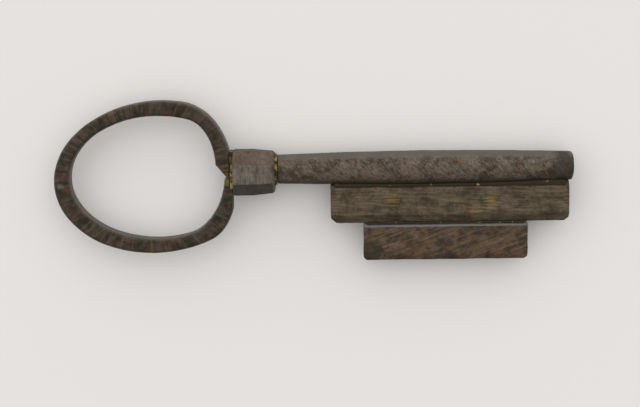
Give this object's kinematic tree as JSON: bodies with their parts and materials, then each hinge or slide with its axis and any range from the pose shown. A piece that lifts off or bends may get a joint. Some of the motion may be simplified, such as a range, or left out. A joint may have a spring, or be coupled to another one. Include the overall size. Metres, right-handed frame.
{
  "type": "pipe key",
  "caption": "Old iron pipe key with an oval bent-bar bow, faceted collar, hollow round barrel and stepped flat bit, joined with brass.",
  "frame": {"origin": "middle of the bounding box, on the plane of the collar's lowest flat", "axes": "+X along the barrel from the bow to the nose, -Y towards the bit, +Z through the thickness"},
  "size_m": [0.1196, 0.038, 0.0103],
  "materials": {
    "bow_iron": "forged, dark brown patina",
    "collar_iron": "filed, worn grey",
    "barrel_iron": "filed, speckled brown patina",
    "bit_iron": "filed, warm brown patina",
    "brass": "dull braze"
  },
  "bodies": {
    "root": {"bow_hoop": "bow_iron", "bow_seat_braze": "brass", "collar": "collar_iron", "barrel": "barrel_iron", "barrel_seam_braze": "brass", "stem_tang": "barrel_iron", "bit_bar": "bit_iron", "bit_plate": "bit_iron", "bit_root_braze_front": "brass", "bit_root_braze_back": "brass", "step_braze_front": "brass", "step_braze_back": "brass"}
  },
  "joints": []
}
